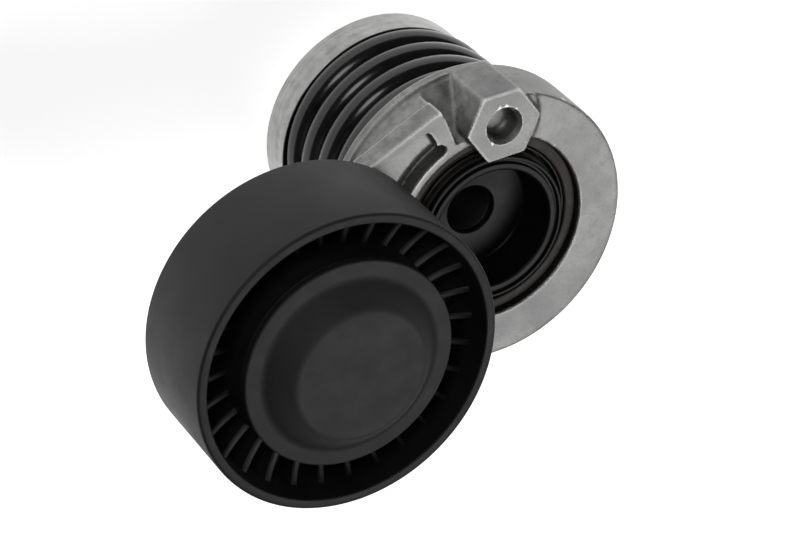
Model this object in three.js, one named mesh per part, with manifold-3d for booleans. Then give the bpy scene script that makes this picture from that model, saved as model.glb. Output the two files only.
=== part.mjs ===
// Belt tensioner: cast arm on a sprung, friction damped pivot, with a ribbed idler pulley on a ball bearing.
// Millimetres. Z is the pivot axis, z = 0 is the face that bolts to the engine, +X points at the pulley axis.
import * as THREE from 'three';
import { mergeVertices } from 'three/addons/utils/BufferGeometryUtils.js';
import Module from 'manifold-3d';

const wasm = await Module();
wasm.setup();

// Driving dimensions of the pivot body.
const bodyLength = 58.5;
const armLength = 50.8;
const swingDegrees = 60;
const boltHoleRadius = 5.8;
const shaftWall = 3.8;
const bushWall = 1.7;
const plateCupRadius = 14.4;
const plateSheet = 1.4;
const plateFloorDepth = 9.8;
const plateFloorSheet = 2;
const plateFlangeRise = 0.5;
const plateFlangeSheet = 1.4;
const plateGrooveWidth = 0.9;
const hubWall = 2.5;
const bandThickness = 0.5;
const frictionRingWall = 2.5;
const frictionRingHeight = 4.7;
const frictionRingDepth = 1.9;
const thrustWasherSheet = 1.1;

// Driving dimensions of the spring, base and drum.
const wireRadius = 3.6;
const springRoom = 1.85;
const springShiftX = -0.3;
const springShiftY = -1.1;
const coilGap = 0.35;
const springPadSheet = 1;
const cupLip = 0.25;
const baseFloor = 3.8;
const baseHeight = 8.9;
const baseWall = 0.45;
const baseHubHeight = 11;
const baseHubWall = 4.25;
const rearRecessDepth = 1.2;
const pinRadius = 2.5;
const pinReach = 5;
const pinSocket = 8;
const drumDepth = 15.5;
const drumChamberDepth = 6;
const drumWall = 4;
const lipHeight = 2.7;

// Driving dimensions of the arm's neck, notch, pockets and wrench lug.
const neckProud = 1.1;
const neckBossRadius = 14.3;
const neckDepth = 12.7;
const neckSideDepth = 5.8;
const neckSkin = 3.6;
const neckWall = 2.8;
const neckRibWidth = 3;
const neckRibPitch = 10.5;
const notchInnerDepth = 0.4;
const notchOuterDepth = 12.3;
const rimWall = 2;
const slotPocketWidth = 2.8;
const slotPocketDepth = 7.5;
const sidePocketDepth = 2.2;
const ridgeWidth = 2.5;
const hexAcrossFlats = 16;
const hexRise = 2.4;
const hexAlongX = -3.8;
const hexHoleRadius = 4;
const hexHoleDepth = 7;

// Driving dimensions of the pulley, its bearing and its fixing.
const pulleyRadius = 35;
const pulleyWidth = 27.2;
const pulleyGap = 3;
const pulleyRim = 2.33;
const pulleyWeb = 3;
const pulleyHubWall = 4.2;
const ribCount = 30;
const ribThickness = 1.5;
const ribDepth = 7.2;
const bearingBore = 8.5;
const bearingRadius = 20;
const bearingRing = 2.9;
const grooveDepth = 0.4;
const ballCount = 8;
const sealSheet = 0.8;
const sealRoom = 0.9;
const cageRail = 0.63;
const washerSheet = 1.8;
const boltRadius = 4;
const boltHeadHeight = 5.3;
const boltHeadAcrossFlats = 13;
const boltReach = 20;
const capRise = 5.6;
const capSheet = 1.5;
const capDiscRadius = 15.2;
const capSkirt = 3.6;

// Clearances and edge breaks.
const runningGap = 0.15;
const fitGap = 0.1;
const partGap = 0.3;
const faceGap = 0.1;
const edgeBreak = 0.5;
const smallBreak = 0.3;

// Facets around small and large round parts.
const smallFacets = 36;
const middleFacets = 44;
const largeFacets = 60;

// Radii, worked outward from the bolt hole.
const shaftRadius = boltHoleRadius + shaftWall;
const bushInner = shaftRadius + runningGap;
const bushOuter = bushInner + bushWall;
const hubBore = bushOuter + fitGap;
const plateCupOuter = plateCupRadius + plateSheet;
const hubCounterbore = plateCupOuter + partGap;
const hubRadius = Math.max(hubCounterbore, hubBore + hubWall) + hubWall;
const plateFlangeRadius = hubRadius - 2.5 * partGap;
const bandInner = hubRadius + 2 * partGap;
const frictionRingInner = bandInner + bandThickness + partGap;
const frictionRingOuter = frictionRingInner + frictionRingWall;
const openingRadius = frictionRingOuter + partGap;
const coilInner = hubRadius + springRoom;
const coilMiddle = coilInner + wireRadius;
const coilOuter = coilMiddle + wireRadius;
const springReach = coilOuter + Math.hypot(springShiftX, springShiftY);
const baseRadius = coilOuter + cupLip;
const cupInner = baseRadius - baseWall;
const baseBore = shaftRadius + fitGap;
const baseHubRadius = baseBore + baseHubWall;
const chamberRadius = springReach + 2 * partGap;
const drumRadius = chamberRadius + drumWall;
const neckRadius = drumRadius + neckProud;

// Levels along the pivot axis.
const drumRear = bodyLength - drumDepth;
const chamberRoof = drumRear + drumChamberDepth;
const plateFloorTop = bodyLength - plateFloorDepth;
const plateFloorBottom = plateFloorTop - plateFloorSheet;
const shaftTop = plateFloorBottom - faceGap;
const counterboreFloor = shaftTop - 2 * partGap;
const flangeTop = bodyLength + plateFlangeRise;
const flangeBottom = flangeTop - plateFlangeSheet;
const thrustTop = flangeBottom - faceGap;
const collarTop = thrustTop - thrustWasherSheet - faceGap;
const ringTop = bodyLength - frictionRingDepth;
const ringBottom = ringTop - frictionRingHeight;
const pocketFloor = ringBottom - partGap;
const hubBottom = baseHubHeight + bushWall;
const padTop = chamberRoof - faceGap;
const padBottom = padTop - springPadSheet;
const springStart = baseFloor + faceGap + wireRadius;
const springEnd = padBottom - faceGap - wireRadius;
const springPitch = 2 * wireRadius + coilGap;
const springTurns = (springEnd - springStart) / springPitch;
const springStartAngle = THREE.MathUtils.degToRad(135);
const springEndAngle = springStartAngle - 2 * Math.PI * springTurns;
const hexAlongY = -(plateFlangeRadius + partGap + hexAcrossFlats / 2);
const hexRoof = bodyLength + hexRise;
const lipRadius = hexAcrossFlats / 2 - hexAlongY;
const hexOverhangFloor = ringTop + 4 * partGap;
const pulleyBack = bodyLength + pulleyGap;
const pulleyFront = pulleyBack + pulleyWidth;
const pulleyMiddle = (pulleyBack + pulleyFront) / 2;
const raceClearance = 0.12;
const ballRadius = (bearingRadius - bearingBore) / 2 - bearingRing + grooveDepth;
const cageHalfWidth = ballRadius + raceClearance + cageRail;
const bearingWidth = 2 * (cageHalfWidth + sealRoom + sealSheet + partGap);
const bearingBack = pulleyMiddle - bearingWidth / 2;
const bearingFront = pulleyMiddle + bearingWidth / 2;
const pulleyHubRadius = bearingRadius + fitGap + pulleyHubWall;

function material(color, roughness, metalness) {
  return new THREE.MeshStandardMaterial({ color, roughness, metalness });
}

const castAlloy = material(0xb4b4b0, 0.5, 0.85);
const machinedAlloy = material(0xc2c2be, 0.38, 0.9);
const blackSteel = material(0x2a2a2b, 0.45, 0.6);
const springSteel = material(0x1c1c1b, 0.25, 0.5);
const plainSteel = material(0xa8aaac, 0.3, 0.95);
const zincSteel = material(0xb9bbb6, 0.35, 0.9);
const frictionPolymer = material(0x4b4036, 0.7, 0);
const blackNylon = material(0x1e1f20, 0.55, 0);
const capPlastic = material(0x2c2d2e, 0.7, 0);
const sealRubber = material(0x33302c, 0.8, 0);

function toSolid(geometry) {
  const bare = geometry.clone();
  bare.deleteAttribute('normal');
  bare.deleteAttribute('uv');
  const merged = mergeVertices(bare);
  const corners = merged.index.array;
  const triangles = [];
  for (let i = 0; i < corners.length; i += 3) {
    const [a, b, c] = [corners[i], corners[i + 1], corners[i + 2]];
    if (a !== b && b !== c && c !== a) triangles.push(a, b, c);
  }
  return new wasm.Manifold(new wasm.Mesh({
    numProp: 3,
    vertProperties: new Float32Array(merged.attributes.position.array),
    triVerts: new Uint32Array(triangles),
  }));
}

function toGeometry(solid) {
  const { vertProperties, triVerts } = solid.getMesh();
  const geometry = new THREE.BufferGeometry();
  geometry.setAttribute('position', new THREE.BufferAttribute(vertProperties, 3));
  geometry.setIndex(new THREE.BufferAttribute(triVerts, 1));
  geometry.computeVertexNormals();
  return geometry;
}

// A turned solid about Z from [radius, z] corners listed counter-clockwise.
function turned(profile, facets = smallFacets) {
  const points = profile.map(([r, z]) => new THREE.Vector2(r, z));
  const onAxis = profile[0][0] === 0;
  if (!onAxis) points.push(points[0].clone());
  const geometry = new THREE.LatheGeometry(points, facets);
  return toSolid(geometry.rotateX(Math.PI / 2));
}

function tube(inner, outer, bottom, top, facets = smallFacets) {
  return turned([[inner, bottom], [outer, bottom], [outer, top], [inner, top]], facets);
}

// A prism of an x-y outline between two levels.
function prism(shape, bottom, top, curveSegments = 12) {
  const geometry = new THREE.ExtrudeGeometry(shape, { depth: top - bottom, bevelEnabled: false, curveSegments });
  return toSolid(geometry.translate(0, 0, bottom));
}

function rod(radius, bottom, top, x = 0, y = 0, facets = smallFacets) {
  const geometry = new THREE.CylinderGeometry(radius, radius, top - bottom, facets);
  return toSolid(geometry.rotateX(Math.PI / 2).translate(x, y, (bottom + top) / 2));
}

// A hexagonal bar with two flats parallel to X.
function hexBar(acrossFlats, bottom, top, x = 0, y = 0) {
  const geometry = new THREE.CylinderGeometry(acrossFlats / Math.sqrt(3), acrossFlats / Math.sqrt(3), top - bottom, 6);
  geometry.rotateX(Math.PI / 2).rotateZ(Math.PI / 2);
  return toSolid(geometry.translate(x, y, (bottom + top) / 2));
}

function cone(lowRadius, highRadius, bottom, top, x = 0, y = 0) {
  const geometry = new THREE.CylinderGeometry(highRadius, lowRadius, top - bottom, smallFacets);
  return toSolid(geometry.rotateX(Math.PI / 2).translate(x, y, (bottom + top) / 2));
}

// A block whose length lies along the radius at one angle.
function radialBlock(angle, inner, outer, width, bottom, top) {
  const geometry = new THREE.BoxGeometry(outer - inner, width, top - bottom);
  geometry.translate((inner + outer) / 2, 0, (bottom + top) / 2).rotateZ(angle);
  return toSolid(geometry);
}

function sector(inner, outer, fromAngle, toAngle, bottom, top) {
  const shape = new THREE.Shape();
  shape.absarc(0, 0, outer, fromAngle, toAngle, false);
  shape.absarc(0, 0, inner, toAngle, fromAngle, true);
  return prism(shape, bottom, top, 10);
}

const degrees = THREE.MathUtils.degToRad;
const stopFrom = degrees(200);
const stopTo = degrees(230);
const stopGap = degrees(1.5);
const springStopWidth = degrees(12);
const springStopGap = degrees(1.5) + Math.hypot(springShiftX, springShiftY) / coilInner;
const keyAngle = degrees(20);
const keyWidth = 4;
const springStopInner = coilInner + 2 * partGap;
const springStopOuter = coilOuter - 2 * partGap;

// Base cup: machined rear face, spring seat, hub for the shaft, swing stop and a socket for the dowel pin.
function baseCup() {
  const landInner = baseHubRadius - partGap;
  const landOuter = coilInner + edgeBreak;
  const stopInner = bushFlangeRadius + partGap;
  const stopOuter = hubRadius - partGap;
  const springStopFrom = springStartAngle + springStopGap;
  return turned([
    [baseBore, 0],
    [landInner, 0],
    [landInner, rearRecessDepth],
    [landOuter, rearRecessDepth],
    [landOuter, 0],
    [baseRadius - edgeBreak, 0],
    [baseRadius, edgeBreak],
    [baseRadius, baseHeight - smallBreak],
    [baseRadius - smallBreak, baseHeight],
    [cupInner, baseHeight],
    [cupInner, baseFloor],
    [baseHubRadius, baseFloor],
    [baseHubRadius, baseHubHeight],
    [baseBore, baseHubHeight],
  ], largeFacets)
    .add(rod(pinBossRadius, 0, baseHubHeight - 2 * partGap, pinPlace, 0))
    .add(sector(stopInner, stopOuter, stopFrom, stopTo, baseFloor - faceGap, stopTop))
    .add(sector(springStopInner, springStopOuter, springStopFrom, springStopFrom + springStopWidth,
      baseFloor - faceGap, springStart + faceGap))
    .subtract(rod(pinRadius + fitGap, -1, pinSocket, pinPlace, 0))
    .subtract(rod(baseBore, -1, baseHubHeight + 1));
}

const bushFlangeRadius = baseHubRadius + 3 * partGap;
const bushFlange = hubBottom - baseHubHeight - 2 * faceGap;
const pinBossRadius = pinRadius + 1.3;
const pinPlace = -(coilInner - partGap - pinBossRadius);
const stopTop = hubBottom + 3;

function locatingPin() {
  return turned([
    [0, -pinReach],
    [pinRadius - edgeBreak, -pinReach],
    [pinRadius, edgeBreak - pinReach],
    [pinRadius, pinSocket - partGap],
    [0, pinSocket - partGap],
  ], 24);
}

function pivotShaft() {
  return turned([
    [boltHoleRadius, 0],
    [shaftRadius - smallBreak, 0],
    [shaftRadius, smallBreak],
    [shaftRadius, shaftTop - smallBreak],
    [shaftRadius - smallBreak, shaftTop],
    [boltHoleRadius, shaftTop],
  ]);
}

const bushLength = (counterboreFloor - hubBottom) * 0.42;

// Flanged bush that carries the rear of the arm's hub and its end thrust.
function rearBush() {
  const flangeBottom = baseHubHeight + faceGap;
  return turned([
    [bushInner, flangeBottom],
    [bushFlangeRadius, flangeBottom],
    [bushFlangeRadius, flangeBottom + bushFlange],
    [bushOuter, flangeBottom + bushFlange],
    [bushOuter, hubBottom + bushLength],
    [bushInner, hubBottom + bushLength],
  ]);
}

function frontBush() {
  return tube(bushInner, bushOuter, counterboreFloor - bushLength, counterboreFloor);
}

// Pressed front plate: a deep cup for the bolt head, a grooved flange and one key for the friction ring.
function frontPlate() {
  const grooveInner = plateCupOuter + partGap;
  const grooveOuter = grooveInner + plateGrooveWidth;
  const grooveFloor = flangeTop - plateFlangeSheet / 2;
  const keyInner = plateFlangeRadius - edgeBreak;
  const keyOuter = frictionRingOuter - partGap;
  return turned([
    [boltHoleRadius, plateFloorBottom],
    [plateCupOuter, plateFloorBottom],
    [plateCupOuter, flangeBottom],
    [plateFlangeRadius, flangeBottom],
    [plateFlangeRadius, flangeTop],
    [grooveOuter, flangeTop],
    [grooveOuter, grooveFloor],
    [grooveInner, grooveFloor],
    [grooveInner, flangeTop],
    [plateCupRadius + smallBreak, flangeTop],
    [plateCupRadius, flangeTop - smallBreak],
    [plateCupRadius, plateFloorTop],
    [boltHoleRadius, plateFloorTop],
  ], middleFacets)
    .add(radialBlock(keyAngle, keyInner, keyOuter, keyWidth, flangeBottom, flangeTop))
    .add(radialBlock(keyAngle, frictionRingInner + partGap, keyOuter, keyWidth, ringBottom + 1, flangeTop));
}

// Split rings: the friction ring rubs on the wall of the arm's opening, pushed out by the steel band.
function splitRing(inner, outer, gap) {
  return tube(inner, outer, ringBottom, ringTop, middleFacets)
    .subtract(radialBlock(keyAngle, inner - 1, outer + 1, gap, ringBottom - 1, ringTop + 1));
}

function thrustWasher() {
  return tube(hubCounterbore, hubRadius - 2 * partGap, thrustTop - thrustWasherSheet, thrustTop);
}

class CoilCurve extends THREE.Curve {
  getPoint(t, target = new THREE.Vector3()) {
    const angle = springStartAngle - t * 2 * Math.PI * springTurns;
    return target.set(
      springShiftX + coilMiddle * Math.cos(angle),
      springShiftY + coilMiddle * Math.sin(angle),
      springStart + t * (springEnd - springStart),
    );
  }
}

// Left-hand torsion spring of round wire, bowed a little to one side and loaded end face to end face.
function torsionSpring() {
  const wire = new THREE.Shape();
  wire.absarc(0, 0, wireRadius, 0, 2 * Math.PI, false);
  const geometry = new THREE.ExtrudeGeometry(wire, {
    extrudePath: new CoilCurve(),
    steps: Math.round(springTurns * 20),
    curveSegments: 6,
    bevelEnabled: false,
  });
  return toSolid(geometry);
}

function springPad() {
  return tube(hubRadius + 3 * partGap, chamberRadius - partGap, padBottom, padTop, middleFacets)
    .subtract(sector(hubRadius, chamberRadius + 1, springEndAngle - springStopWidth - 3 * springStopGap,
      springEndAngle, padBottom - 1, padTop + 1));
}

// Outline of the neck, tangent to the drum and to the pulley boss, drawn in by a wall thickness.
function neckShape(inset) {
  const big = neckRadius - inset;
  const small = neckBossRadius - inset;
  const lean = Math.acos((big - small) / armLength);
  const shape = new THREE.Shape();
  shape.moveTo(0, 0);
  shape.absarc(0, 0, big, -lean - neckLead, -lean, false);
  shape.absarc(armLength, 0, small, -lean, lean, false);
  shape.absarc(0, 0, big, lean, lean + neckLead, false);
  shape.closePath();
  return shape;
}

const neckLead = degrees(6);
const neckRear = bodyLength - neckDepth;
const bearingSeatRadius = bearingBore + bearingRing - faceGap;
const spigotRadius = bearingBore - fitGap;
const spigotTop = bearingFront - partGap;

// Shallow rimmed plate over three deeper ribs that run from the drum to the pulley boss.
function neck() {
  const hollow = prism(neckShape(neckWall), 0, bodyLength - neckSkin, 10);
  let web = prism(neckShape(0), bodyLength - neckSideDepth, bodyLength, 10)
    .subtract(hollow)
    .add(rod(neckBossRadius, neckRear, bodyLength - smallBreak, armLength));
  for (const row of [-1, 0, 1]) {
    const rib = new THREE.BoxGeometry(armLength, neckRibWidth, neckDepth - smallBreak);
    rib.translate(armLength / 2, row * neckRibPitch, neckRear + (neckDepth - smallBreak) / 2);
    web = web.add(toSolid(rib));
  }
  return web.subtract(rod((chamberRadius + drumRadius) / 2, 0, bodyLength + 1, 0, 0, largeFacets));
}

// Boss and spigot that carry the pulley bearing.
function pulleyBoss() {
  return rod(bearingSeatRadius, neckRear, bearingBack - faceGap, armLength)
    .add(rod(spigotRadius, bodyLength, spigotTop, armLength));
}

// Cast-in slot beside the opening and the shallow pocket between it and the neck's ridge.
function neckPockets() {
  const slotInner = openingRadius + rimWall;
  const slotOuter = slotInner + slotPocketWidth;
  const slotMiddle = (slotInner + slotOuter) / 2;
  const slotFrom = degrees(-64);
  const slotTo = degrees(-28);
  const slotFloor = bodyLength - slotPocketDepth;
  const roundEnd = (angle) => rod(slotPocketWidth / 2, slotFloor, bodyLength + 1,
    slotMiddle * Math.cos(angle), slotMiddle * Math.sin(angle), 16);
  const slot = sector(slotInner, slotOuter, slotFrom, slotTo, slotFloor, bodyLength + 1)
    .add(roundEnd(slotFrom))
    .add(roundEnd(slotTo));
  const sideInner = slotOuter - faceGap;
  const side = sector(sideInner, armLength, degrees(-62), slotTo, bodyLength - sidePocketDepth, bodyLength + 1)
    .intersect(prism(neckShape(ridgeWidth), neckRear, bodyLength + 2, 24));
  return slot.add(side);
}

// Notch between the wrench lug and the neck, with a floor that slopes away to the drum's wall.
function notch() {
  const inner = openingRadius + rimWall + smallBreak;
  const outer = neckRadius + 5;
  const outerFloor = bodyLength - notchOuterDepth;
  const slope = turned([
    [inner, bodyLength - notchInnerDepth],
    [drumRadius, outerFloor],
    [outer, outerFloor],
    [outer, bodyLength + 1],
    [inner, bodyLength + 1],
  ], largeFacets);
  return slope.intersect(sector(inner - 1, outer + 1, degrees(-100), degrees(-72.5), 0, bodyLength + 2));
}

// Ledge along the rear of the drum, under the notch, the lug and the neck.
function rearLip() {
  return sector((chamberRadius + drumRadius) / 2, lipRadius, degrees(-107), degrees(-22), drumRear,
    drumRear + lipHeight);
}

function wrenchLug() {
  const bar = hexBar(hexAcrossFlats, drumRear + lipHeight, hexRoof, hexAlongX, hexAlongY);
  return bar.subtract(rod(openingRadius, 0, hexOverhangFloor, 0, 0, largeFacets))
    .subtract(rod(chamberRadius, 0, chamberRoof, 0, 0, largeFacets));
}

function lugHole() {
  const mouth = hexHoleRadius + 2 * smallBreak;
  return rod(hexHoleRadius, hexRoof - hexHoleDepth, hexRoof + 1, hexAlongX, hexAlongY, 24)
    .add(cone(hexHoleRadius, mouth + 0.4, hexRoof - 2 * smallBreak, hexRoof + 0.4, hexAlongX, hexAlongY));
}

// Drum: front ring, friction ring groove, web and the hub that turns on the shaft.
function drum() {
  const drumFrontRadius = drumRadius - smallBreak;
  return turned([
    [hubBore, hubBottom],
    [hubRadius, hubBottom],
    [hubRadius, chamberRoof],
    [chamberRadius, chamberRoof],
    [chamberRadius, drumRear],
    [drumRadius - edgeBreak, drumRear],
    [drumRadius, drumRear + edgeBreak],
    [drumFrontRadius, bodyLength - edgeBreak],
    [drumFrontRadius - edgeBreak, bodyLength],
    [openingRadius + smallBreak, bodyLength],
    [openingRadius, bodyLength - smallBreak],
    [openingRadius, pocketFloor],
    [hubRadius, pocketFloor],
    [hubRadius, collarTop],
    [hubCounterbore, collarTop],
    [hubCounterbore, counterboreFloor],
    [hubBore, counterboreFloor],
  ], largeFacets);
}

function armCasting() {
  const stopSlot = sector(bushFlangeRadius, hubRadius + 1, stopFrom - degrees(swingDegrees) - stopGap,
    stopTo + stopGap, hubBottom - 1, stopTop + partGap);
  const springStop = sector(springStopInner, springStopOuter, springEndAngle - springStopGap - springStopWidth,
    springEndAngle - springStopGap, springEnd - wireRadius / 2, chamberRoof + faceGap);
  return drum()
    .add(neck())
    .subtract(notch())
    .subtract(neckPockets())
    .add(rearLip())
    .add(wrenchLug())
    .add(pulleyBoss())
    .add(springStop)
    .subtract(lugHole())
    .subtract(stopSlot)
    .subtract(rod(boltRadius + fitGap, bearingFront - boltReach - 1, spigotTop + 1, armLength, 0, 24));
}

// Pulley shell: smooth rim, web, hub with a retaining lip, and radial ribs on both sides of the web.
function pulleyShell() {
  const rimInner = pulleyRadius - pulleyRim;
  const hubBoreRadius = bearingRadius + fitGap;
  const lipInner = bearingRadius - bearingRing / 2;
  const webBack = pulleyMiddle - pulleyWeb / 2;
  const webFront = pulleyMiddle + pulleyWeb / 2;
  const hubFront = pulleyFront - capSheet - partGap;
  const hubBack = bearingBack - 2.6;
  let shell = turned([
    [lipInner, hubBack],
    [pulleyHubRadius, hubBack],
    [pulleyHubRadius, webBack],
    [rimInner, webBack],
    [rimInner, pulleyBack],
    [pulleyRadius - edgeBreak, pulleyBack],
    [pulleyRadius, pulleyBack + edgeBreak],
    [pulleyRadius, pulleyFront - edgeBreak],
    [pulleyRadius - edgeBreak, pulleyFront],
    [rimInner, pulleyFront],
    [rimInner, webFront],
    [pulleyHubRadius, webFront],
    [pulleyHubRadius, hubFront],
    [hubBoreRadius, hubFront],
    [hubBoreRadius, bearingBack - faceGap],
    [lipInner, bearingBack - faceGap],
  ], largeFacets);
  const [ribInner, ribOuter] = [pulleyHubRadius - partGap, rimInner + partGap];
  for (let rib = 0; rib < ribCount; rib += 1) {
    const angle = (rib + 0.5) * 2 * Math.PI / ribCount;
    shell = shell
      .add(radialBlock(angle, ribInner, ribOuter, ribThickness, webFront - faceGap, pulleyFront - ribDepth))
      .add(radialBlock(angle, ribInner, ribOuter, ribThickness, hubBack, webBack + faceGap));
  }
  return shell;
}

const pitchRadius = (bearingBore + bearingRadius) / 2;

// Half section of a grooved race, from the bearing's back face to its front face.
function raceGroove(landRadius, bottomRadius) {
  const halfGroove = ballRadius * 0.8;
  return [
    [landRadius, bearingBack],
    [landRadius, pulleyMiddle - halfGroove],
    [bottomRadius, pulleyMiddle - halfGroove / 3],
    [bottomRadius, pulleyMiddle + halfGroove / 3],
    [landRadius, pulleyMiddle + halfGroove],
    [landRadius, bearingFront],
  ];
}

function bearingOuterRing() {
  const groove = raceGroove(bearingRadius - bearingRing, pitchRadius + ballRadius + raceClearance);
  return turned([[bearingRadius, bearingBack], [bearingRadius, bearingFront], ...groove.reverse()]);
}

function bearingInnerRing() {
  const groove = raceGroove(bearingBore + bearingRing, pitchRadius - ballRadius - raceClearance);
  return turned([[bearingBore, bearingFront], [bearingBore, bearingBack], ...groove]);
}

function bearingSeal(bottom) {
  const inner = bearingBore + bearingRing + partGap;
  const outer = bearingRadius - bearingRing - faceGap;
  return tube(inner, outer, bottom, bottom + sealSheet);
}

function ballAngle(ball) {
  return (ball + 0.5) * 2 * Math.PI / ballCount;
}

function ballGeometry(radius) {
  return new THREE.SphereGeometry(radius, 12, 8);
}

function bearingCage() {
  const inner = bearingBore + bearingRing + 4 * partGap;
  const outer = bearingRadius - bearingRing - 4 * partGap;
  let cage = tube(inner, outer, pulleyMiddle - cageHalfWidth, pulleyMiddle + cageHalfWidth);
  for (let ball = 0; ball < ballCount; ball += 1) {
    const geometry = ballGeometry(ballRadius + raceClearance);
    geometry.translate(pitchRadius, 0, pulleyMiddle).rotateZ(ballAngle(ball));
    cage = cage.subtract(toSolid(geometry));
  }
  return cage;
}

// Shield pressed on the boss, which covers the back of the bearing.
function rearShield() {
  const bottom = bearingBack - 2;
  return tube(bearingSeatRadius + faceGap, bearingRadius - bearingRing / 2 - partGap, bottom, bottom + sealSheet);
}

function boltWasher() {
  const bottom = bearingFront + faceGap;
  return tube(boltRadius + 2 * fitGap, bearingSeatRadius - faceGap, bottom, bottom + washerSheet);
}

function pulleyBolt() {
  const headBottom = bearingFront + 2 * faceGap + washerSheet;
  const headTop = headBottom + boltHeadHeight;
  const recess = boltHeadAcrossFlats / 4;
  return hexBar(boltHeadAcrossFlats, headBottom, headTop)
    .add(rod(boltRadius, bearingFront - boltReach, headBottom + 1, 0, 0, 24))
    .subtract(rod(recess, headTop - edgeBreak, headTop + 1, 0, 0, 24));
}

// Snap-in dust cap: flat flange, conical shoulder, flat disc and a skirt inside the pulley hub.
function dustCap() {
  const roof = pulleyFront + capRise;
  const flangeBottom = pulleyFront - capSheet;
  const skirtOuter = bearingRadius - fitGap;
  const skirtInner = skirtOuter - capSheet;
  const skirtBottom = pulleyFront - capSheet - capSkirt;
  return turned([
    [0, roof - capSheet],
    [capDiscRadius - capSheet / 2, roof - capSheet],
    [skirtInner, pulleyFront - capSheet / 2],
    [skirtInner, skirtBottom],
    [skirtOuter, skirtBottom],
    [skirtOuter, flangeBottom],
    [pulleyHubRadius, flangeBottom],
    [pulleyHubRadius, pulleyFront],
    [bearingRadius, pulleyFront + smallBreak],
    [capDiscRadius, roof],
    [0, roof],
  ], middleFacets);
}

const tensioner = new THREE.Group();
const pulleyAxis = new THREE.Group();
pulleyAxis.position.set(armLength, 0, 0);
tensioner.add(pulleyAxis);

function place(parent, name, solid, look) {
  const mesh = new THREE.Mesh(toGeometry(solid), look);
  mesh.name = name;
  parent.add(mesh);
  return mesh;
}

place(tensioner, 'base_cup', baseCup(), machinedAlloy);
place(tensioner, 'locating_pin', locatingPin(), plainSteel).position.set(pinPlace, 0, 0);
place(tensioner, 'pivot_shaft', pivotShaft(), plainSteel);
place(tensioner, 'front_plate', frontPlate(), blackSteel);
place(tensioner, 'friction_ring', splitRing(frictionRingInner, frictionRingOuter, keyWidth + 4 * partGap),
  frictionPolymer);
place(tensioner, 'damper_band', splitRing(bandInner, bandInner + bandThickness, keyWidth), plainSteel);
place(tensioner, 'thrust_washer', thrustWasher(), frictionPolymer);
place(tensioner, 'torsion_spring', torsionSpring(), springSteel);
place(tensioner, 'spring_pad', springPad(), frictionPolymer);
place(tensioner, 'rear_bush', rearBush(), frictionPolymer);
place(tensioner, 'front_bush', frontBush(), frictionPolymer);
place(tensioner, 'arm_casting', armCasting(), castAlloy);
place(pulleyAxis, 'bearing_inner_ring', bearingInnerRing(), plainSteel);
place(pulleyAxis, 'bearing_outer_ring', bearingOuterRing(), plainSteel);
place(pulleyAxis, 'bearing_cage', bearingCage(), blackNylon);
for (let ball = 0; ball < ballCount; ball += 1) {
  const angle = ballAngle(ball);
  place(pulleyAxis, `bearing_ball_${ball + 1}`, toSolid(ballGeometry(ballRadius).rotateZ(angle)), plainSteel)
    .position.set(pitchRadius * Math.cos(angle), pitchRadius * Math.sin(angle), pulleyMiddle);
}
place(pulleyAxis, 'rear_seal', bearingSeal(bearingBack + partGap), sealRubber);
place(pulleyAxis, 'front_seal', bearingSeal(bearingFront - partGap - sealSheet), sealRubber);
place(pulleyAxis, 'rear_shield', rearShield(), zincSteel);
place(pulleyAxis, 'pulley', pulleyShell(), blackNylon);
place(pulleyAxis, 'bolt_washer', boltWasher(), zincSteel);
place(pulleyAxis, 'pulley_bolt', pulleyBolt(), zincSteel);
place(pulleyAxis, 'dust_cap', dustCap(), capPlastic);

export default tensioner;
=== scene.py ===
import math

import bmesh
import bpy
from mathutils import Matrix, Vector


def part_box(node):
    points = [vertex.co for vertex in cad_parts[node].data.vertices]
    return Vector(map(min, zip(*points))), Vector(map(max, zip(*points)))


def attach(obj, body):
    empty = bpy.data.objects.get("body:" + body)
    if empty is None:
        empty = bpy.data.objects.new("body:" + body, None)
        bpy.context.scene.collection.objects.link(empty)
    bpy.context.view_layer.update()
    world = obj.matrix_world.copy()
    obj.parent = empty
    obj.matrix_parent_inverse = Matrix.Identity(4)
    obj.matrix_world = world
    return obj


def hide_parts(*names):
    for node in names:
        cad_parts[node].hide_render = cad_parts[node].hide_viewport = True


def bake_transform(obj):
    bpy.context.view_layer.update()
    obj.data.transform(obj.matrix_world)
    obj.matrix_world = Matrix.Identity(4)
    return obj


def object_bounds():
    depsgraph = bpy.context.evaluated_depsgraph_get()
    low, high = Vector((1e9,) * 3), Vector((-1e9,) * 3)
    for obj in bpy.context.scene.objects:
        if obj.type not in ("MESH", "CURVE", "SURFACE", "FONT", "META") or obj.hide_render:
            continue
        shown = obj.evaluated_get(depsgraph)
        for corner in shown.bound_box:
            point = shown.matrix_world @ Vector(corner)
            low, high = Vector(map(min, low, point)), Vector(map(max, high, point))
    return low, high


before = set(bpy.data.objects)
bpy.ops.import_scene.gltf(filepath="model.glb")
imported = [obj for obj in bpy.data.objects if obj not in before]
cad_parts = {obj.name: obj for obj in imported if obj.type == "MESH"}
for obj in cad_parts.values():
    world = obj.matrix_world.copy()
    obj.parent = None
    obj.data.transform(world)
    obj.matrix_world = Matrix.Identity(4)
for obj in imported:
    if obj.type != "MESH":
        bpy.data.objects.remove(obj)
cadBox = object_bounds()
mm = 0.001

print("frame loaded:", len(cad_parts), "nodes")


def levels(node):  # lowest and highest z of a node, in mm
    low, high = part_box(node)
    return low[2] / mm, high[2] / mm


def reach(node):  # outer radius of a round node, in mm
    low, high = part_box(node)
    return (high[0] - low[0]) / 2 / mm


def centreOf(node):  # middle of a node in plan, in mm
    low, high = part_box(node)
    return (low[0] + high[0]) / 2 / mm, (low[1] + high[1]) / 2 / mm


pulleyAxis = centreOf("pulley")
pinPlace = centreOf("locating_pin")
armLength = pulleyAxis[0]
faceLevel = 58.5  # front face of the arm's ring


# building blocks

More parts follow.
